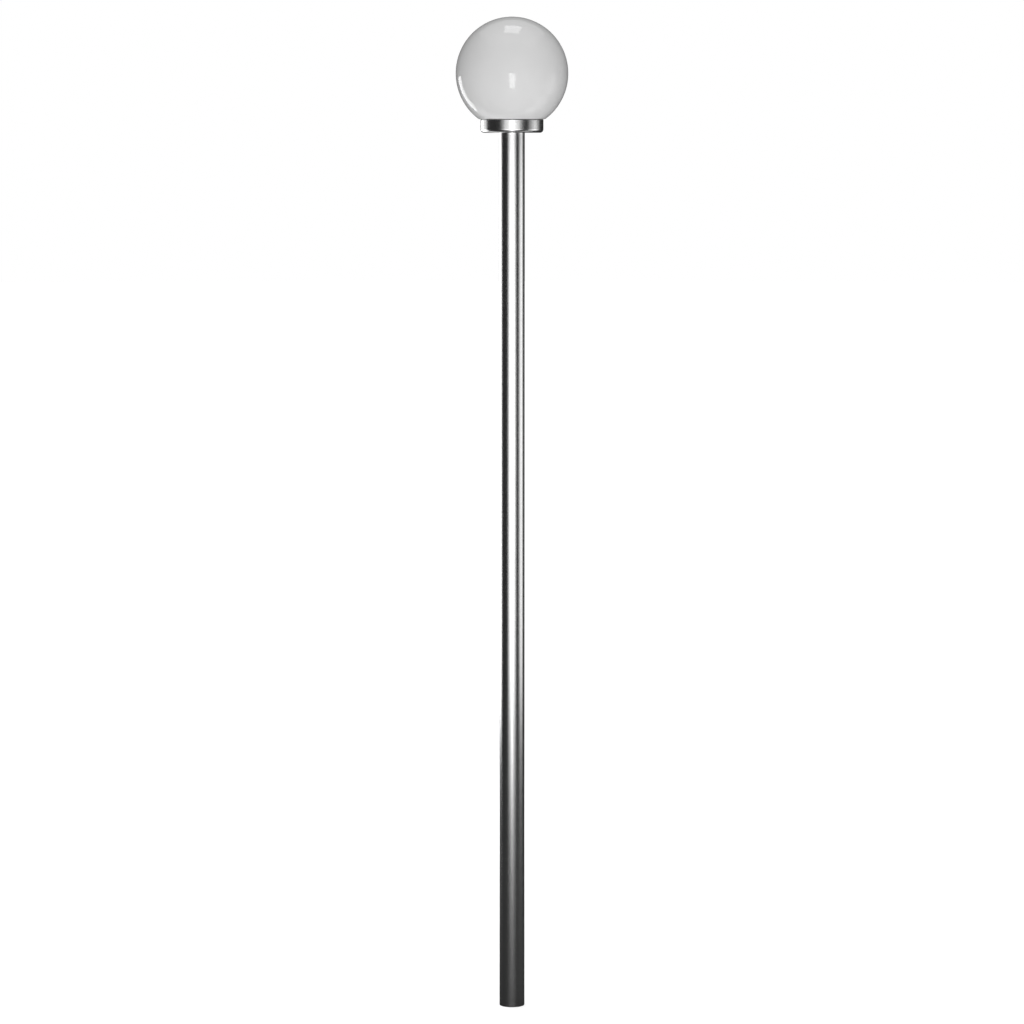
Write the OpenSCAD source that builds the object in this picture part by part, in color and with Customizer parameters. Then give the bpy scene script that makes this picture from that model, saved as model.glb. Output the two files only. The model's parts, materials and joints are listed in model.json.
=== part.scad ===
// Garden lamp post: an opal globe in a pressed steel cup on a straight steel tube.
// Z is up, the origin is the centre of the foot, and the front faces -Y.

/* [Pole] */
// Outside diameter of the pole tube
pole_d = 57; // [54:1:60]
// Wall thickness of the pole tube
pole_wall = 1.5; // [1:0.1:2.5]
// Length of the pole tube, from its foot to the underside of the cup
pole_len = 1979.5; // [900:0.5:2600]

/* [Foot] */
// Thickness of the ring that is welded into the foot of the tube
foot_ring_h = 10; // [8:1:16]
// Diameter of the ring's hole for the cable grommet
grommet_hole_d = 25; // [22:1:27]
// Inside diameter of the cable grommet
cable_hole_d = 16; // [12:1:18]
// Diameter of the circle on which the foot's screw holes lie
foot_pcd = 43; // [42:0.5:44]
// Tapping diameter of the foot's screw holes
foot_hole_d = 6.8; // [5:0.1:7]
// Number of screw holes in the foot
foot_holes = 3; // [3:1:4]

/* [Cup] */
// Outside diameter of the cup under the globe
cup_d = 140; // [138:1:142]
// Height of the cup
cup_h = 29; // [28:0.5:36]
// Thickness of the cup's sheet
cup_wall = 1.5; // [1:0.1:2]
// Outside radius of the pressed corner between the cup's floor and its wall
cup_corner_r = 8; // [4:0.5:9]
// Length of the sleeve that holds the cup in the top of the tube
sleeve_len = 70; // [50:1:120]
// Wall thickness of the sleeve
sleeve_wall = 5; // [4:0.5:6]

/* [Globe] */
// Outside diameter of the globe
globe_d = 250; // [240:5:300]
// Wall thickness of the globe and of its neck
globe_wall = 3; // [2:0.5:4]
// Diameter of the flat shoulder with which the globe rests on its seal
shoulder_d = 142; // [141:1:144]
// Radius of the rounding between the shoulder and the sphere
shoulder_r = 8; // [5:0.5:12]
// Outside diameter of the neck under the globe
neck_d = 122; // [118:1:123]
// Length of the neck below the shoulder
neck_len = 22; // [19:1:24]
// Number of bayonet lugs on the neck
lugs = 3; // [3:1:4]
// Angle that one lug covers, in degrees
lug_angle = 28; // [20:1:34]

/* [Lamp] */
// Height of the lampholder
holder_h = 40; // [38:1:50]
// Diameter of the bulb
bulb_d = 60; // [55:1:70]
// Length of the bulb's cap
bulb_cap_h = 25; // [24:1:27]

/* [Hidden] */
$fn = 96;

// How far a cutter runs past the face that it cuts
past = 1;

pole_r = pole_d / 2;
bore_r = pole_r - pole_wall;
pole_edge_r = 0.5;
cup_r = cup_d / 2;
cup_inner_r = cup_r - cup_wall;
cup_top = pole_len + cup_h;
floor_top = pole_len + cup_wall;

grommet_lip = 3;
grommet_lip_h = 2;
grommet_recess_h = 2.5;
recess_gap = 0.2;

sleeve_bore_r = bore_r - sleeve_wall;
sleeve_lead = 2;
wire_hole_r = 15;
screw_r = bore_r - sleeve_wall / 2;
screw_hole_r = 2.2;
tap_r = 1.65;
tap_depth = 14;

seal_h = 1;
seal_inset = 0.5;
seal_gap = 1;
seal_lip_w = 3;
seal_lip_h = 5.5;
shoulder_z = cup_top + seal_h;

globe_r = globe_d / 2;
round_x = shoulder_d / 2;
round_z = shoulder_z + shoulder_r;
globe_z = round_z + sqrt(pow(globe_r - shoulder_r, 2) - pow(round_x, 2));
neck_r = neck_d / 2;

// The bayonet: a ring in the cup, whose ledges hold the neck's lugs down
ring_gap = 0.3;
ring_r = cup_inner_r - ring_gap;
ring_wall = 2.5;
ring_h = 20;
ring_floor_h = 2;
ring_floor_w = 12;
notch_angle = lug_angle + 6;
ledge_h = 3;
ledge_drop = 1.5;
ledge_gap = 1.2;
ledge_z = ring_h - ledge_drop - ledge_h;
ledge_r = neck_r + ledge_gap;
lug_h = 5;
lug_out = 3.8;
lug_top = floor_top + ledge_z;
stop_angle = 4;
stop_set_back = 0.5;
stop_r = ledge_r + stop_set_back;

bracket_w = 24;
bracket_t = 2;
bracket_web = 17;
bracket_foot = 33;
bracket_rise = 16;
bend_r = 2;
nipple_r = 5;
nipple_wall = 1;
nipple_len = 14;
nipple_tail = 0.5;
nut_h = 3.5;
nut_flats = 14;

holder_z = floor_top + bracket_rise;
holder_floor = 14;
holder_flare = 4;
holder_rim_r = 2;
holder_r = 21;
holder_base_r = 17;
shell_r = 14;
shell_wall = 0.4;
shell_h = 24;
contact_h = 1.2;

cap_z = holder_z + holder_floor + contact_h;
button_r = 4.5;
button_h = 1.5;
insulator_r = 11;
insulator_top = 6;
cap_r = 13.2;
cap_edge = 2;
bulb_r = bulb_d / 2;
bulb_wall = 1.5;
dome_wall = 1;
body_z = cap_z + bulb_cap_h;
body_h = 36;
// The dome's centre is this far above the joint between the dome and the body
dome_drop = 8;
joint_r = sqrt(pow(bulb_r, 2) - pow(dome_drop, 2));
body_step = 0.8;
body_foot_r = cap_r + body_step;
// The body's flank is an arc that runs into the dome without a kink
flank_r = (pow(joint_r - body_foot_r, 2) + pow(body_h, 2)) * bulb_r
    / (2 * ((joint_r - body_foot_r) * joint_r - body_h * dome_drop));

block_poles = 3;
block_pitch = 10;
block_w = 17;
block_h = 9;
block_x = -38;
tower_r = 3;
tower_h = 4;
entry_r = 1.7;
well_r = 2;

// The outline of a pressed cup, from the axis to its wall, with a rounded bottom corner.
module cup_outline(r, h, corner) {
    square([r - corner, h]);
    translate([0, corner]) square([r, h - corner]);
    translate([r - corner, corner]) circle(corner);
}

// The outline of the globe down to its flat shoulder, from the axis out, set in by a distance.
module globe_outline(inset) {
    r = globe_r - inset;
    corner = shoulder_r - inset;
    touch_z = globe_z - (globe_z - round_z) * r / (r - corner);
    intersection() {
        translate([0, globe_z]) circle(r);
        translate([0, touch_z]) square([r + 1, 2 * r]);
    }
    translate([0, round_z - corner]) square([round_x, corner]);
    translate([round_x, round_z]) circle(corner);
}

// The outline of the bulb's body between two heights, set in by a distance.
module body_outline(inset, low, high) {
    intersection() {
        translate([joint_r * (1 - flank_r / bulb_r), body_h + flank_r * dome_drop / bulb_r])
            circle(flank_r - inset);
        translate([0, low]) square([bulb_r, high - low]);
    }
}

// A segment of a ring, centred on the +X axis.
module segment(angle, inner_r, outer_r, low, high) {
    translate([0, 0, low]) rotate(-angle / 2) rotate_extrude(angle = angle)
        translate([inner_r, 0]) square([outer_r - inner_r, high - low]);
}

// A quarter of a sheet's bend round the origin, where X and Y are positive.
module bend() {
    intersection() {
        difference() {
            circle(bend_r + bracket_t);
            circle(bend_r);
        }
        square(bend_r + bracket_t);
    }
}

// The two screws that hold the cup and the bracket on the sleeve.
module at_screws() {
    for (side = [-1, 1]) translate([0, side * screw_r, 0]) children();
}

// The places of the bayonet's lugs round the axis.
module at_lugs() {
    for (i = [0 : lugs - 1]) rotate((i + 0.5) * 360 / lugs) children();
}

module foot_ring() {
    recess_r = grommet_hole_d / 2 + grommet_lip + recess_gap;
    color("silver") difference() {
        cylinder(r = bore_r, h = foot_ring_h);
        translate([0, 0, -past]) cylinder(d = grommet_hole_d, h = foot_ring_h + 2 * past);
        translate([0, 0, -past]) cylinder(r = recess_r, h = grommet_recess_h + past);
        for (i = [0 : foot_holes - 1])
            rotate(i * 360 / foot_holes) translate([foot_pcd / 2, 0, -past])
                cylinder(d = foot_hole_d, h = foot_ring_h + 2 * past);
    }
}

module cable_grommet() {
    lip_r = grommet_hole_d / 2 + grommet_lip;
    low = grommet_recess_h - grommet_lip_h;
    color("dimgray") rotate_extrude() difference() {
        union() {
            translate([0, low]) square([lip_r, grommet_lip_h]);
            translate([0, low]) square([grommet_hole_d / 2, foot_ring_h]);
            translate([0, foot_ring_h]) square([lip_r, grommet_lip_h]);
        }
        square([cable_hole_d / 2, foot_ring_h + grommet_lip_h + past]);
    }
}

module pole_tube() {
    color("lightgray") rotate_extrude() {
        translate([bore_r, 0]) square([pole_wall - pole_edge_r, pole_len]);
        translate([bore_r, pole_edge_r]) square([pole_wall, pole_len - pole_edge_r]);
        translate([pole_r - pole_edge_r, pole_edge_r]) circle(pole_edge_r);
    }
}

module neck_sleeve() {
    color("silver") translate([0, 0, pole_len - sleeve_len]) difference() {
        rotate_extrude() polygon([
            [sleeve_bore_r, 0], [bore_r - sleeve_lead, 0], [bore_r, sleeve_lead],
            [bore_r, sleeve_len], [sleeve_bore_r, sleeve_len],
        ]);
        at_screws() translate([0, 0, sleeve_len - tap_depth]) cylinder(r = tap_r, h = tap_depth + past);
    }
}

module globe_cup() {
    rim_r = cup_wall / 2;
    color("gainsboro") translate([0, 0, pole_len]) difference() {
        rotate_extrude() {
            difference() {
                cup_outline(cup_r, cup_h - rim_r, cup_corner_r);
                translate([0, cup_wall]) cup_outline(cup_inner_r, cup_h, cup_corner_r - cup_wall);
            }
            translate([cup_r - rim_r, cup_h - rim_r]) circle(rim_r);
        }
        translate([0, 0, -past]) cylinder(r = wire_hole_r, h = cup_wall + 2 * past);
        at_screws() translate([0, 0, -past]) cylinder(r = screw_hole_r, h = cup_wall + 2 * past);
    }
}

module bayonet_ring() {
    inner_r = ring_r - ring_wall;
    color("whitesmoke") translate([0, 0, floor_top]) {
        rotate_extrude() difference() {
            cup_outline(ring_r, ring_h, cup_corner_r - cup_wall);
            translate([0, -past]) square([inner_r - ring_floor_w, ring_h + 2 * past]);
            translate([0, ring_floor_h]) square([inner_r, ring_h]);
        }
        at_lugs() {
            segment(360 / lugs - notch_angle, ledge_r, ring_r - ring_wall / 2, ledge_z, ledge_z + ledge_h);
            rotate(lug_angle / 2 + stop_angle)
                segment(stop_angle, stop_r, ring_r - ring_wall / 3, ledge_z - lug_h, ledge_z + ledge_h / 2);
        }
    }
}

module globe_seal() {
    inner_r = neck_r + seal_gap;
    color("black") translate([0, 0, cup_top]) rotate_extrude() {
        translate([inner_r, 0]) square([cup_r - seal_inset - inner_r, seal_h]);
        translate([cup_inner_r - seal_lip_w, -seal_lip_h]) square([seal_lip_w, seal_lip_h + seal_h]);
    }
}

module opal_globe() {
    color("white") rotate_extrude() difference() {
        globe_outline(0);
        globe_outline(globe_wall);
        translate([0, shoulder_z - past]) square([neck_r, globe_wall + 2 * past]);
    }
}

module globe_neck() {
    edge_r = globe_wall / 2;
    color("white") {
        translate([0, 0, shoulder_z - neck_len]) rotate_extrude() {
            translate([neck_r - globe_wall, edge_r]) square([globe_wall, neck_len + edge_r]);
            translate([neck_r - edge_r, edge_r]) circle(edge_r);
        }
        at_lugs() segment(lug_angle, neck_r - edge_r, neck_r + lug_out, lug_top - lug_h, lug_top);
    }
}

module holder_bracket() {
    outer_r = bend_r + bracket_t;
    flat = bracket_web + bracket_t - outer_r;
    color("gray") translate([0, 0, floor_top]) difference() {
        translate([-bracket_w / 2, 0, 0]) rotate([90, 0, 90]) linear_extrude(bracket_w) {
            translate([-flat, bracket_rise - bracket_t]) square([2 * flat, bracket_t]);
            for (side = [0, 1]) mirror([side, 0]) {
                translate([flat, bracket_rise - outer_r]) bend();
                translate([bracket_web, outer_r]) square([bracket_t, bracket_rise - 2 * outer_r]);
                translate([bracket_web + outer_r, outer_r]) rotate(180) bend();
                translate([bracket_web + outer_r, 0])
                    square([bracket_foot - bracket_web - outer_r, bracket_t]);
            }
        }
        translate([0, 0, bracket_rise / 2]) cylinder(r = nipple_r, h = bracket_rise);
        at_screws() translate([0, 0, -past]) cylinder(r = screw_hole_r, h = bracket_t + 2 * past);
    }
}

module wire_nipple() {
    color("goldenrod") translate([0, 0, holder_z - bracket_t - nut_h - nipple_tail]) difference() {
        cylinder(r = nipple_r, h = nipple_len);
        translate([0, 0, -past]) cylinder(r = nipple_r - nipple_wall, h = nipple_len + 2 * past);
    }
}

module nipple_nut() {
    color("goldenrod") translate([0, 0, holder_z - bracket_t - nut_h]) difference() {
        cylinder(r = nut_flats / sqrt(3), h = nut_h, $fn = 6);
        translate([0, 0, -past]) cylinder(r = nipple_r, h = nut_h + 2 * past);
    }
}

module lampholder_body() {
    head_h = holder_h - holder_rim_r;
    color("white") translate([0, 0, holder_z]) rotate_extrude() difference() {
        union() {
            polygon([
                [0, 0], [holder_base_r, 0], [holder_base_r, holder_floor - holder_flare],
                [holder_r, holder_floor], [holder_r, head_h], [0, head_h],
            ]);
            square([holder_r - holder_rim_r, holder_h]);
            translate([holder_r - holder_rim_r, head_h]) circle(holder_rim_r);
        }
        translate([0, holder_floor]) square([shell_r, holder_h]);
        translate([0, -past]) square([nipple_r, holder_h]);
    }
}

module lampholder_shell() {
    color("gold") translate([0, 0, holder_z + holder_floor]) difference() {
        cylinder(r = shell_r, h = shell_h);
        translate([0, 0, -past]) cylinder(r = shell_r - shell_wall, h = shell_h + 2 * past);
    }
}

module centre_contact() {
    color("gold") translate([0, 0, holder_z + holder_floor]) cylinder(r = nipple_r, h = contact_h);
}

module bulb_contact() {
    color("silver") translate([0, 0, cap_z]) cylinder(r = button_r, h = button_h);
}

module bulb_insulator() {
    color("black") translate([0, 0, cap_z + button_h])
        cylinder(r1 = button_r, r2 = insulator_r, h = insulator_top - button_h);
}

module bulb_cap() {
    color("silver") translate([0, 0, cap_z]) {
        translate([0, 0, insulator_top]) cylinder(r1 = insulator_r, r2 = cap_r, h = cap_edge);
        translate([0, 0, insulator_top + cap_edge])
            cylinder(r = cap_r, h = bulb_cap_h - insulator_top - cap_edge);
    }
}

module bulb_body() {
    color("white") translate([0, 0, body_z]) rotate_extrude() difference() {
        body_outline(0, 0, body_h);
        body_outline(bulb_wall, bulb_wall, body_h - bulb_wall);
    }
}

module bulb_dome() {
    color("white") translate([0, 0, body_z + body_h]) rotate_extrude() intersection() {
        difference() {
            translate([0, dome_drop]) circle(bulb_r);
            translate([0, dome_drop]) circle(bulb_r - dome_wall);
        }
        square([bulb_r, dome_drop + bulb_r]);
    }
}

module terminal_block() {
    module at_poles() {
        for (i = [0 : block_poles - 1])
            translate([(i - (block_poles - 1) / 2) * block_pitch, 0, 0]) children();
    }
    module at_screw_wells() {
        at_poles() for (side = [-1, 1]) translate([0, side * block_w / 4, 0]) children();
    }
    color("ivory") translate([block_x, 0, floor_top]) rotate(90) difference() {
        union() {
            at_poles() translate([-block_pitch / 2, -block_w / 2, 0]) cube([block_pitch, block_w, block_h]);
            at_screw_wells() cylinder(r = tower_r, h = block_h + tower_h);
        }
        at_screw_wells() translate([0, 0, block_h / 2]) cylinder(r = well_r, h = block_h + tower_h);
        at_poles() translate([0, block_w, block_h / 2])
            rotate([90, 0, 0]) cylinder(r = entry_r, h = 2 * block_w);
    }
}

foot_ring();
cable_grommet();
pole_tube();
neck_sleeve();
globe_cup();
bayonet_ring();
globe_seal();
opal_globe();
globe_neck();
holder_bracket();
wire_nipple();
nipple_nut();
lampholder_body();
lampholder_shell();
centre_contact();
bulb_contact();
bulb_insulator();
bulb_cap();
bulb_body();
bulb_dome();
terminal_block();
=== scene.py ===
"""The looks of a garden lamp post: a steel tube, a polished cup and an opal globe in a studio."""

import json
import math

import bpy
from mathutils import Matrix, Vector


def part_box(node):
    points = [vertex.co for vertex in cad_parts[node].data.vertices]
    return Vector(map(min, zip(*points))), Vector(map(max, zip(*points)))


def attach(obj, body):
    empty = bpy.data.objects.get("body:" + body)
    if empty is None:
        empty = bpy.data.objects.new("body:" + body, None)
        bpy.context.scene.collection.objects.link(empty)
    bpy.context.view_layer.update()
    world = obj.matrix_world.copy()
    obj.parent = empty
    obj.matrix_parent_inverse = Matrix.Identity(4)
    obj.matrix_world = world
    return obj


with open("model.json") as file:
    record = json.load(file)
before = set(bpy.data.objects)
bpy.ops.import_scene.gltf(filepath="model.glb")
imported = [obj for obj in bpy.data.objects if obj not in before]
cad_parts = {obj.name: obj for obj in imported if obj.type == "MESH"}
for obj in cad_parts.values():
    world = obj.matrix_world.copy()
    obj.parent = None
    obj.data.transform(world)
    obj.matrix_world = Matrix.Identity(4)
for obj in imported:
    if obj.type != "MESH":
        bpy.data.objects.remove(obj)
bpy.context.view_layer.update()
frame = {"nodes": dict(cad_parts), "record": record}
nodes = frame["nodes"]

# Where the CAD model has its parts, in metres.
CUP_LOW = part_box("globe_cup")[0]
BRACKET_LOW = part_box("holder_bracket")[0]
BLOCK = sum(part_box("terminal_block"), Vector()) / 2
CAP_LOW, CAP_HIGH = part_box("bulb_cap")
GLOBE_LOW, GLOBE_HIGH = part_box("opal_globe")
GLOBE_R = (GLOBE_HIGH.x - GLOBE_LOW.x) / 2
GLOBE_Z = GLOBE_HIGH.z - GLOBE_R

MM = 0.001


# ---------------------------------------------------------------- materials


# Most values of a noise texture lie between these two.
NOISE_LOW, NOISE_HIGH = 0.3, 0.7


class Surface:
    """A Principled material whose grain, tint and gloss come from procedural textures."""

    def __init__(self, slot, base, roughness, metallic=0.0, ior=1.5):
        self.material = bpy.data.materials.get(slot) or bpy.data.materials.new(slot)
        self.material.use_nodes = True
        self.tree = self.material.node_tree
        self.tree.nodes.clear()
        output = self.tree.nodes.new("ShaderNodeOutputMaterial")
        self.shader = self.tree.nodes.new("ShaderNodeBsdfPrincipled")
        self.tree.links.new(self.shader.outputs["BSDF"], output.inputs["Surface"])
        self.shader.inputs["Base Color"].default_value = (*base, 1)
        self.shader.inputs["Roughness"].default_value = roughness
        self.shader.inputs["Metallic"].default_value = metallic
        self.shader.inputs["IOR"].default_value = ior
        self.place = self.tree.nodes.new("ShaderNodeTexCoord").outputs["Object"]

    def noise(self, grain, detail=2.0, roughness=0.5):
        """A noise texture whose features are about grain = (x, y, z) metres large."""
        mapping = self.tree.nodes.new("ShaderNodeMapping")
        mapping.inputs["Scale"].default_value = [1 / size for size in grain]
        self.tree.links.new(self.place, mapping.inputs["Vector"])
        noise = self.tree.nodes.new("ShaderNodeTexNoise")
        noise.inputs["Scale"].default_value = 1.0
        noise.inputs["Detail"].default_value = detail
        noise.inputs["Roughness"].default_value = roughness
        self.tree.links.new(mapping.outputs["Vector"], noise.inputs["Vector"])
        return noise.outputs["Fac"]

    def spread(self, factor, low, high):
        """Maps a noise to values between low and high."""
        span = self.tree.nodes.new("ShaderNodeMapRange")
        span.inputs["From Min"].default_value = NOISE_LOW
        span.inputs["From Max"].default_value = NOISE_HIGH
        span.inputs["To Min"].default_value = low
        span.inputs["To Max"].default_value = high
        self.tree.links.new(factor, span.inputs["Value"])
        return span.outputs["Result"]

    def gloss(self, factor, low, high):
        """Varies the roughness from low to high."""
        self.tree.links.new(self.spread(factor, low, high), self.shader.inputs["Roughness"])

    def tint(self, factor, dark, light):
        """Varies the colour from dark to light."""
        mix = self.tree.nodes.new("ShaderNodeMix")
        mix.data_type = "RGBA"
        mix.inputs["A"].default_value = (*dark, 1)
        mix.inputs["B"].default_value = (*light, 1)
        self.tree.links.new(self.spread(factor, 0, 1), mix.inputs["Factor"])
        self.tree.links.new(mix.outputs["Result"], self.shader.inputs["Base Color"])

    def relief(self, factor, depth):
        """Raises the surface by a bump of a depth in metres."""
        bump = self.tree.nodes.new("ShaderNodeBump")
        bump.inputs["Distance"].default_value = depth
        self.tree.links.new(factor, bump.inputs["Height"])
        self.tree.links.new(bump.outputs["Normal"], self.shader.inputs["Normal"])


def grey(value):
    return (value, value, value)


def brushed_pole():
    """Stainless tube, ground round and round with a fine belt."""
    steel = Surface("brushed_pole", grey(0.65), 0.235, metallic=1.0)
    rings = steel.noise((30 * MM, 30 * MM, 0.4 * MM), detail=3)
    clouds = steel.noise((60 * MM, 60 * MM, 150 * MM))
    steel.tint(clouds, grey(0.63), grey(0.67))
    steel.gloss(rings, 0.225, 0.245)
    return steel.material


def polished_cup():
    """Pressed stainless cup, polished on a lathe."""
    steel = Surface("polished_cup", grey(0.65), 0.24, metallic=1.0)
    rings = steel.noise((40 * MM, 40 * MM, 0.5 * MM), detail=3)
    clouds = steel.noise((25 * MM, 25 * MM, 25 * MM))
    steel.tint(clouds, grey(0.64), grey(0.67))
    steel.gloss(rings, 0.23, 0.25)
    return steel.material


def plain_steel():
    """Turned stainless steel."""
    steel = Surface("plain_steel", grey(0.5), 0.35, metallic=1.0)
    turned = steel.noise((8 * MM, 8 * MM, 0.3 * MM), detail=3)
    steel.gloss(turned, 0.3, 0.42)
    steel.relief(turned, 0.01 * MM)
    return steel.material


def zinc_steel():
    """Zinc-plated sheet with its faint bluish clouds."""
    zinc = Surface("zinc_steel", (0.6, 0.61, 0.62), 0.38, metallic=1.0)
    clouds = zinc.noise((9 * MM, 9 * MM, 9 * MM), detail=4)
    zinc.tint(clouds, (0.54, 0.55, 0.57), (0.66, 0.67, 0.67))
    zinc.gloss(clouds, 0.32, 0.45)
    return zinc.material


def opal_acrylic():
    """Blow-moulded opal acrylic: milky, glossy, with the faintest waves of the mould."""
    opal = Surface("opal_acrylic", grey(0.87), 0.03, ior=1.49)
    waves = opal.noise((70 * MM, 70 * MM, 70 * MM))
    opal.tint(waves, grey(0.86), grey(0.88))
    opal.gloss(waves, 0.02, 0.04)
    return opal.material


def seal_rubber():
    """Black rubber with a fine tooth."""
    rubber = Surface("seal_rubber", grey(0.03), 0.6)
    tooth = rubber.noise((0.6 * MM, 0.6 * MM, 0.6 * MM), detail=3)
    rubber.tint(tooth, grey(0.022), grey(0.04))
    rubber.gloss(tooth, 0.5, 0.7)
    rubber.relief(tooth, 0.03 * MM)
    return rubber.material


def white_plastic():
    """Satin white moulded plastic."""
    plastic = Surface("white_plastic", (0.82, 0.82, 0.8), 0.4)
    satin = plastic.noise((1.2 * MM, 1.2 * MM, 1.2 * MM), detail=3)
    plastic.tint(satin, (0.8, 0.8, 0.78), (0.83, 0.83, 0.81))
    plastic.gloss(satin, 0.34, 0.46)
    plastic.relief(satin, 0.01 * MM)
    return plastic.material


def white_ceramic():
    """Glazed porcelain, a little uneven under its glaze."""
    ceramic = Surface("white_ceramic", (0.85, 0.84, 0.8), 0.12, ior=1.55)
    glaze = ceramic.noise((6 * MM, 6 * MM, 6 * MM), detail=3)
    ceramic.tint(glaze, (0.82, 0.81, 0.77), (0.86, 0.85, 0.82))
    ceramic.gloss(glaze, 0.08, 0.18)
    ceramic.relief(glaze, 0.05 * MM)
    return ceramic.material


def brass():
    """Bright brass with light tarnish."""
    metal = Surface("brass", (0.75, 0.6, 0.32), 0.25, metallic=1.0)
    tarnish = metal.noise((4 * MM, 4 * MM, 4 * MM), detail=4)
    metal.tint(tarnish, (0.66, 0.5, 0.25), (0.78, 0.63, 0.35))
    metal.gloss(tarnish, 0.2, 0.34)
    return metal.material


def nickel_cap():
    """Nickel-plated brass of a screw cap."""
    nickel = Surface("nickel_cap", grey(0.72), 0.2, metallic=1.0)
    clouds = nickel.noise((5 * MM, 5 * MM, 5 * MM), detail=3)
    nickel.tint(clouds, (0.68, 0.67, 0.65), (0.74, 0.74, 0.73))
    nickel.gloss(clouds, 0.16, 0.26)
    return nickel.material


def black_insulator():
    """The black glass ring round a cap's contact."""
    glass = Surface("black_insulator", (0.03, 0.03, 0.04), 0.15, ior=1.52)
    flow = glass.noise((3 * MM, 3 * MM, 3 * MM), detail=3)
    glass.tint(flow, (0.025, 0.025, 0.03), (0.05, 0.05, 0.06))
    glass.gloss(flow, 0.1, 0.22)
    return glass.material


def bulb_opal():
    """Frosted white dome of the bulb."""
    frost = Surface("bulb_opal", grey(0.88), 0.5)
    grain = frost.noise((0.8 * MM, 0.8 * MM, 0.8 * MM), detail=3)
    frost.tint(grain, grey(0.86), grey(0.9))
    frost.gloss(grain, 0.45, 0.6)
    return frost.material


FINISHES = [
    brushed_pole, polished_cup, plain_steel, zinc_steel, opal_acrylic, seal_rubber,
    white_plastic, white_ceramic, brass, nickel_cap, black_insulator, bulb_opal,
]
finish_of = {make.__name__: make() for make in FINISHES}
for row in frame["record"]["subparts"]:
    nodes[row["node"]].material_slots[0].material = finish_of[row["material_slot"]]


# ---------------------------------------------------------------- small pieces


# Edges that bend more than this stay sharp.
SHARP_ANGLE = math.radians(35)


def piece(name, points, faces, slot):
    """A solid of its own that stands on the lamp post and takes a finish of the record."""
    mesh = bpy.data.meshes.new(name)
    mesh.from_pydata(points, [], faces)
    mesh.update()
    mesh.shade_smooth()
    mesh.set_sharp_from_angle(angle=SHARP_ANGLE)
    mesh.materials.append(finish_of[slot])
    made = bpy.data.objects.new(name, mesh)
    bpy.context.scene.collection.objects.link(made)
    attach(made, "root")
    return made


def around(radius, angle, z):
    """The point at a radius and an angle round the Z axis."""
    return (radius * math.cos(angle), radius * math.sin(angle), z)


def hexagon(angle, half_flats):
    """How far a hexagon's rim is from its centre at an angle."""
    turn = (angle + math.pi / 6) % (math.pi / 3) - math.pi / 6
    return half_flats / math.cos(turn)


def turned(name, rings, slot, sides=48):
    """A turned piece from rings (radius, z, form), from one end round to the other.

    The radius of a "hex" ring is half its width across flats.
    """
    points, faces = [], []
    for radius, z, form in rings:
        for i in range(sides):
            angle = 2 * math.pi * i / sides
            points.append(around(hexagon(angle, radius) if form == "hex" else radius, angle, z))
    for k in range(len(rings) - 1):
        for i in range(sides):
            j = (i + 1) % sides
            faces.append((k * sides + i, k * sides + j, (k + 1) * sides + j, (k + 1) * sides + i))
    faces.append(tuple(range(sides))[::-1])
    faces.append(tuple(range((len(rings) - 1) * sides, len(rings) * sides)))
    return piece(name, points, faces, slot)


# Half of a thread ridge's outline, from its foot to its crest: (along in pitches, out in heights).
# The foot lies a little inside the wall, so that no gap shows under the ridge.
RIDGE_SIDE = [(-0.33, -0.05), (-0.2, 0.6), (-0.07, 0.97)]
# A ridge rises from nothing, and sinks to nothing, within this part of a turn.
RIDGE_FADE = 1 / 4


def thread(name, radius, pitch, low, high, height, slot, steps=36):
    """A rounded helical ridge on a wall of a radius: out of it, or into its hole if height < 0."""
    shape = RIDGE_SIDE + [(-along, out) for along, out in RIDGE_SIDE[::-1]]
    count = int((high - low) / pitch * steps)
    points, faces = [], []
    for k in range(count + 1):
        fade = min(1, k / steps / RIDGE_FADE, (count - k) / steps / RIDGE_FADE)
        for along, out in shape:
            rise = height * (out * fade if out > 0 else out)
            z = low + pitch * (k / steps + along)
            points.append(around(radius + rise, 2 * math.pi * k / steps, z))
    n = len(shape)
    for k in range(count):
        for i in range(n):
            j = (i + 1) % n
            quad = (k * n + i, k * n + j, (k + 1) * n + j, (k + 1) * n + i)
            faces.append(quad[::-1] if height > 0 else quad)
    ends = [tuple(range(n)), tuple(range(count * n, (count + 1) * n))[::-1]]
    faces += ends if height > 0 else [end[::-1] for end in ends]
    return piece(name, points, faces, slot)


# The heads of the cup's screws stand on the bracket's feet, in front of and behind the axis.
SCREW_AXIS_R, BRACKET_THICK = 24.5 * MM, 2 * MM
SCREW_R, SCREW_TIP_R, SCREW_LONG, SCREW_TIP_LONG = 1.6 * MM, 1.2 * MM, 16 * MM, 0.5 * MM
HEAD_R, HEAD_TOP_R, HEAD_HIGH, HEAD_EDGE = 3.5 * MM, 3.1 * MM, 4 * MM, 0.4 * MM
SOCKET_HALF_FLATS, SOCKET_DEEP = 1.5 * MM, 2 * MM


def socket_screws():
    """The two socket-head screws that hold the bracket and the cup on the sleeve."""
    for name, side in (("cup_screw_front", -1), ("cup_screw_back", 1)):
        screw = turned(name, [
            (SCREW_TIP_R, -SCREW_LONG, "round"),
            (SCREW_R, SCREW_TIP_LONG - SCREW_LONG, "round"),
            (SCREW_R, 0, "round"),
            (HEAD_R, 0, "round"),
            (HEAD_R, HEAD_HIGH - HEAD_EDGE, "round"),
            (HEAD_TOP_R, HEAD_HIGH, "round"),
            (SOCKET_HALF_FLATS, HEAD_HIGH, "hex"),
            (SOCKET_HALF_FLATS, HEAD_HIGH - SOCKET_DEEP, "hex"),
        ], "plain_steel")
        screw.location = (0, side * SCREW_AXIS_R, BRACKET_LOW.z + BRACKET_THICK)


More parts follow.
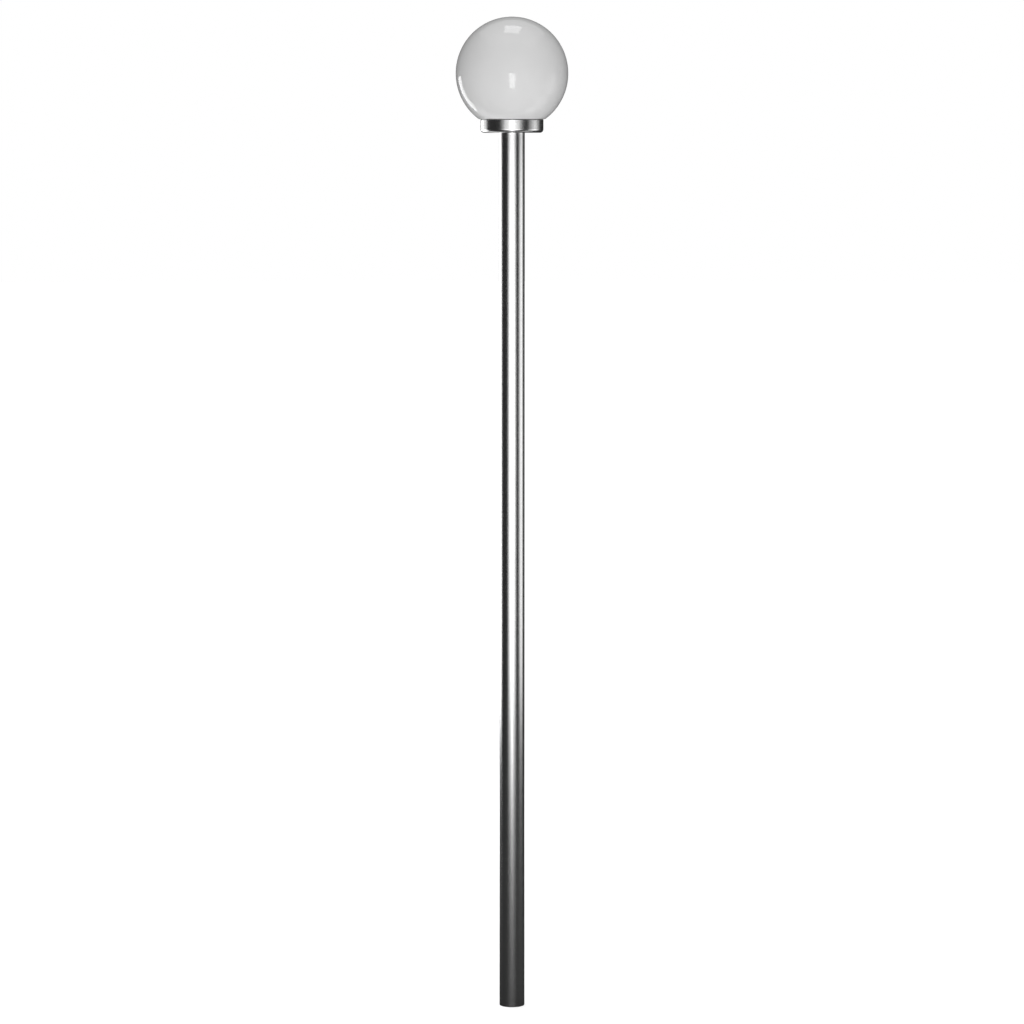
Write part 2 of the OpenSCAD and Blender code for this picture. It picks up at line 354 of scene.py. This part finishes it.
def prism(points, faces, outline, low, high):
    """Adds an upright prism over an outline of (radius, angle) to points and faces."""
    n, base = len(outline), len(points)
    points += [around(radius, angle, z) for z in (high, low) for radius, angle in outline]
    faces.append(tuple(base + k for k in range(n)))
    faces.append(tuple(base + n + k for k in range(n))[::-1])
    for k in range(n):
        m = (k + 1) % n
        faces.append((base + n + k, base + n + m, base + m, base + k))


# The terminal block has two rows of three wells. The screws' heights are over the cup's floor,
# on which the block stands, as the bracket does.
WELL_ROWS, WELL_STEP = 8.5 * MM, 10 * MM
CLAMP_R, CLAMP_LOW, CLAMP_HIGH = 1.75 * MM, 6.2 * MM, 9.5 * MM
SLOT_HALF, SLOT_DEEP = 0.3 * MM, 0.8 * MM
# Each screw stopped at its own angle when it was tightened.
CLAMP_TURN, CLAMP_TURN_STEP = 20, 37


def clamp_screws():
    """The six slotted screws down in the wells of the terminal block."""
    slot_bottom = CLAMP_HIGH - SLOT_DEEP
    start = math.asin(SLOT_HALF / CLAMP_R)
    steps = 18
    for i in range(6):
        points, faces = [], []
        for side in (0, 1):
            half = [start + (math.pi - 2 * start) * k / steps + side * math.pi for k in range(steps + 1)]
            prism(points, faces, [(CLAMP_R, angle) for angle in half], slot_bottom, CLAMP_HIGH)
        whole = [math.pi * k / steps for k in range(2 * steps)]
        prism(points, faces, [(CLAMP_R, angle) for angle in whole], CLAMP_LOW, slot_bottom)
        screw = piece("clamp_screw_%d" % (i + 1), points, faces, "brass")
        across, along = (i % 2 - 0.5) * WELL_ROWS, (i // 2 - 1) * WELL_STEP
        screw.location = (BLOCK.x + across, BLOCK.y + along, BRACKET_LOW.z)
        screw.rotation_euler = (0, 0, math.radians(CLAMP_TURN + CLAMP_TURN_STEP * i))


# The foot's holes are drawn at tapping size for M8, and their ridges stand into them.
FOOT_CIRCLE_R, FOOT_HOLE_R = 21.5 * MM, 3.4 * MM
M8_PITCH, M8_RIDGE = 1.25 * MM, 0.25 * MM
FOOT_THREAD_LOW, FOOT_THREAD_HIGH = 1 * MM, 9.5 * MM


def foot_threads():
    """The threads of the three fixing holes in the foot."""
    for i in range(3):
        ridge = thread(
            "foot_thread_%d" % (i + 1), FOOT_HOLE_R, M8_PITCH, FOOT_THREAD_LOW, FOOT_THREAD_HIGH,
            -M8_RIDGE, "plain_steel",
        )
        ridge.location = around(FOOT_CIRCLE_R, 2 * math.pi * i / 3, 0)


# The E27 thread of the cap, which stays plain for these lengths at its ends.
E27_PITCH, E27_RIDGE = 3.62 * MM, 0.33 * MM
CAP_R, CAP_PLAIN_LOW, CAP_PLAIN_HIGH = 13.2 * MM, 3.4 * MM, 1.6 * MM


def cap_thread():
    """The rolled screw thread of the bulb's cap."""
    low, high = CAP_LOW.z + CAP_PLAIN_LOW, CAP_HIGH.z - CAP_PLAIN_HIGH
    thread("bulb_cap_thread", CAP_R, E27_PITCH, low, high, E27_RIDGE, "nickel_cap", steps=64)


socket_screws()
clamp_screws()
foot_threads()
cap_thread()


# ---------------------------------------------------------------- the studio


def show_white(tree, lit, bright):
    """A strength that is bright for camera, glossy and transmission rays, and lit for the rest.

    The bright strength is a number or a node's output.
    """
    path = tree.nodes.new("ShaderNodeLightPath")
    either = path.outputs["Is Camera Ray"]
    for name in ("Is Glossy Ray", "Is Transmission Ray"):
        more = tree.nodes.new("ShaderNodeMath")
        more.operation = "MAXIMUM"
        tree.links.new(either, more.inputs[0])
        tree.links.new(path.outputs[name], more.inputs[1])
        either = more.outputs["Value"]
    pick = tree.nodes.new("ShaderNodeMix")
    pick.inputs["A"].default_value = lit
    tree.links.new(either, pick.inputs["Factor"])
    if isinstance(bright, float):
        pick.inputs["B"].default_value = bright
    else:
        tree.links.new(bright, pick.inputs["B"])
    return pick.outputs["Result"]


# The even light of the room on matt surfaces. To the camera and in reflections the world is white.
ROOM_LIGHT = 0.34


def make_world():
    world = bpy.data.worlds.new("studio")
    world.use_nodes = True
    bpy.context.scene.world = world
    background = world.node_tree.nodes["Background"]
    strength = show_white(world.node_tree, ROOM_LIGHT, 1.0)
    world.node_tree.links.new(strength, background.inputs["Strength"])
    background.inputs["Color"].default_value = (1, 1, 1, 1)
    # An even world needs no importance sampling.
    world.cycles.sampling_method = "NONE"


def rim(radius, z, sides):
    """The points of an upright cylinder's rim."""
    return [around(radius, 2 * math.pi * i / sides, z) for i in range(sides)]


def staged(name, points, faces, material):
    """A piece of the studio."""
    mesh = bpy.data.meshes.new(name)
    mesh.from_pydata(points, [], faces)
    mesh.materials.append(material)
    made = bpy.data.objects.new(name, mesh)
    bpy.context.scene.collection.objects.link(made)
    return made


def matt(name, value):
    """A matt grey material without any gloss."""
    material = bpy.data.materials.new(name)
    material.use_nodes = True
    shader = material.node_tree.nodes["Principled BSDF"]
    shader.inputs["Base Color"].default_value = (*grey(value), 1)
    shader.inputs["Roughness"].default_value = 1.0
    shader.inputs["Specular IOR Level"].default_value = 0.0
    return material


# How many sides the studio's round pieces have.
STUDIO_SIDES = 96
FLOOR_R = 40.0
FLOOR_GREY = 0.7
# The glow that makes the floor white to the camera: less near the foot, to keep a shadow.
FLOOR_GLOW_NEAR, FLOOR_GLOW_FAR = 0.65, 1.0
FLOOR_NEAR_R, FLOOR_FAR_R = 0.6, 2.5


def make_floor():
    material = matt("floor", FLOOR_GREY)
    tree = material.node_tree
    shader = tree.nodes["Principled BSDF"]
    shader.inputs["Emission Color"].default_value = (1, 1, 1, 1)
    place = tree.nodes.new("ShaderNodeNewGeometry")
    reach = tree.nodes.new("ShaderNodeVectorMath")
    reach.operation = "LENGTH"
    tree.links.new(place.outputs["Position"], reach.inputs[0])
    glow = tree.nodes.new("ShaderNodeMapRange")
    glow.interpolation_type = "SMOOTHSTEP"
    glow.inputs["From Min"].default_value = FLOOR_NEAR_R
    glow.inputs["From Max"].default_value = FLOOR_FAR_R
    glow.inputs["To Min"].default_value = FLOOR_GLOW_NEAR
    glow.inputs["To Max"].default_value = FLOOR_GLOW_FAR
    tree.links.new(reach.outputs["Value"], glow.inputs["Value"])
    strength = show_white(tree, 0.0, glow.outputs["Result"])
    tree.links.new(strength, shader.inputs["Emission Strength"])
    staged("floor", rim(FLOOR_R, 0, STUDIO_SIDES), [range(STUDIO_SIDES)], material)


# How far away the flags stand, how high they reach, and their grey.
FLAG_R, FLAG_H, FLAG_GREY = 5.5, 6.0, 0.058
# The lowest flag lies this far over the floor, and the cards on the floor lie over that flag.
FLAG_FLOOR_Z, CARD_Z = 1 * MM, 5 * MM


def make_flags():
    """Dark cloths round the set, which only reflections see: they draw the steel's dark bands."""
    cloth = matt("flag", FLAG_GREY)
    n = STUDIO_SIDES
    wall = [(i, (i + 1) % n, n + (i + 1) % n, n + i) for i in range(n)]
    flags = [
        staged("flag_wall", rim(FLAG_R, 0, n) + rim(FLAG_R, FLAG_H, n), wall, cloth),
        staged("flag_top", rim(FLAG_R, FLAG_H, n), [range(n)], cloth),
        staged("flag_floor", rim(FLAG_R, FLAG_FLOOR_Z, n), [range(n)], cloth),
    ]
    for flag in flags:
        flag.visible_camera = False
        flag.visible_diffuse = False
        flag.visible_shadow = False
        flag.visible_transmission = False


# The watts of a square metre of softbox at strength 1. Its radiance is then 4 / pi.
WATTS = 4.0


def softbox(name, place, aim, width, height, strength):
    """A rectangular area light that the camera doesn't see."""
    light = bpy.data.lights.new(name, "AREA")
    light.shape = "RECTANGLE"
    light.size, light.size_y = width, height
    light.energy = WATTS * width * height * strength
    lamp = bpy.data.objects.new(name, light)
    bpy.context.scene.collection.objects.link(lamp)
    lamp.location = place
    lamp.rotation_euler = (Vector(aim) - Vector(place)).to_track_quat("-Z", "Y").to_euler()
    lamp.visible_camera = False
    return lamp


def link_lamps(lamps, group_name, state):
    """Makes lamps light the globe alone, or all but the globe: state is INCLUDE or EXCLUDE."""
    group = bpy.data.collections.new(group_name)
    group.objects.link(nodes["opal_globe"])
    group.collection_objects[0].light_linking.link_state = state
    for lamp in lamps:
        lamp.light_linking.receiver_collection = group


def studio_place(azimuth, distance, z):
    """A place round the lamp post. Azimuth 0 is on the camera's side, and 90 at its right."""
    a = math.radians(azimuth)
    return (distance * math.sin(a), -distance * math.cos(a), z)


def seen_width(distance, half_angle):
    """The width that spans half_angle to either side, in degrees, at a distance."""
    return 2 * distance * math.tan(math.radians(half_angle))


def standing_softbox(name, azimuth, distance, half_angle, low, high, strength):
    """An upright softbox that reaches from low to high and faces the lamp post."""
    middle = (low + high) / 2
    place = studio_place(azimuth, distance, middle)
    width = seen_width(distance, half_angle)
    return softbox(name, place, (0, 0, middle), width, high - low, strength)


# A row of cards on the floor carries a band of light on for views from above. These are each
# card's near and far end and its share of the band's strength: the band fades towards the foot.
CARDS = [(0.15, 0.4, 0.25), (0.4, 0.8, 0.8), (0.8, 1.6, 1.0), (1.6, 3.2, 1.0)]
# The angle in degrees within which a card lets its light out. With a grid, the photo's view looks
# in under that angle and its reflections stay as they are.
GRID, NO_GRID = 146, 180


def floor_cards(name, azimuth, half_angle, strength, spread):
    """Cards in a row away from the foot, which only the reflections of glossy surfaces see."""
    cards = []
    for i, (near, far, share) in enumerate(CARDS):
        reach = (near + far) / 2
        place = studio_place(azimuth, reach, CARD_Z)
        width = seen_width(reach, half_angle)
        card = softbox("%s_%d" % (name, i + 1), place, (0, 0, 1), width, far - near, share * strength)
        card.rotation_euler = (math.pi, 0, math.radians(azimuth))
        card.data.spread = math.radians(spread)
        card.visible_diffuse = False
        card.visible_transmission = False
        cards.append(card)
    return cards


# The azimuths of the front and of the right, from which most of the light comes.
FRONT, RIGHT = 0.5, 90.5


def make_lights():
    """The lamps for everything, for all but the globe and for the globe, and the floor's cards.

    An upright softbox has its azimuth, distance, half angle, low end, high end and strength here.
    Those of one direction stand behind each other, because a ray meets only one of two in the same
    plane. That one is the first, so where rows of cards overlap, the brighter row comes first.
    """
    standing_softbox("front_core", FRONT, 3.4, 7, 0.12, 2.1, 2.1)
    standing_softbox("right_core", RIGHT + 3, 3.3, 3.5, 0.15, 2.05, 0.6)
    standing_softbox("right_middle", RIGHT, 3.4, 14, 0.15, 2.05, 0.45)
    for_steel = [
        standing_softbox("front_middle", FRONT, 3.5, 28, 0.05, 2.1, 0.9),
        standing_softbox("front_wide", FRONT, 3.6, 38.5, 0.05, 2.1, 0.5),
        softbox("front_sweep", (0, -2.65, 0.01), (0, -2.65, 1), 1.6, 1.3, 0.3),
        standing_softbox("right_wide", RIGHT, 3.5, 26.5, 0.14, 2.05, 0.55),
        standing_softbox("rim_core", -140.5, 2.8, 10.5, 0.19, 2.02, 1.7),
        standing_softbox("rim_wide", -129, 2.9, 23.5, 0.17, 2.05, 1.28),
    ]
    globe_fill = standing_softbox("globe_fill", FRONT, 3.5, 20, 0.6, 2.1, 2.35)
    # The fill lifts the globe's own grey and leaves no highlight on it.
    globe_fill.visible_glossy = False
    globe_front = standing_softbox("globe_front", FRONT, 3.45, 5.5, 0.12, 2.1, 1.35)
    globe_rim = standing_softbox("globe_rim", -135, 2.85, 8, 0.19, 2.03, 2.4)
    softbox("top_core", (0.02, 0.2, GLOBE_Z + 1.5), (0, 0, GLOBE_Z), 0.55, 0.62, 1.95)
    softbox("top_wide", (0, 0.6, GLOBE_Z + 2.2), (0, 0.6, 0), 3.6, 3.6, 0.35)
    for_steel += floor_cards("front_card", FRONT, 9, 0.8, GRID)
    floor_cards("front_side_card", FRONT, 22, 0.22, GRID)
    floor_cards("right_card", RIGHT, 16, 0.5, GRID)
    floor_cards("rim_card", -134, 14, 0.65, GRID)
    floor_cards("back_card", -172, 10, 0.75, NO_GRID)
    link_lamps(for_steel, "all_but_globe", "EXCLUDE")
    link_lamps([globe_fill, globe_front, globe_rim], "globe_alone", "INCLUDE")


# The camera stands level with the cup and tilts down, in degrees, to hold the whole post. The lens
# and the sensor are in millimetres.
CAMERA_DISTANCE = 8.0
CAMERA_TILT = 6.054
CAMERA_LENS, SENSOR_WIDTH = 125.71, 36.0
CAMERA_REACH = 200.0


def make_camera():
    camera = bpy.data.objects.new("camera", bpy.data.cameras.new("camera"))
    bpy.context.scene.collection.objects.link(camera)
    camera.data.lens = CAMERA_LENS
    camera.data.sensor_width = SENSOR_WIDTH
    camera.data.clip_end = CAMERA_REACH
    camera.location = (0, -CAMERA_DISTANCE, CUP_LOW.z)
    camera.rotation_euler = (math.radians(90 - CAMERA_TILT), 0, 0)
    bpy.context.scene.camera = camera


make_world()
make_floor()
make_flags()
make_lights()
make_camera()
bpy.context.scene.view_settings.view_transform = "Standard"
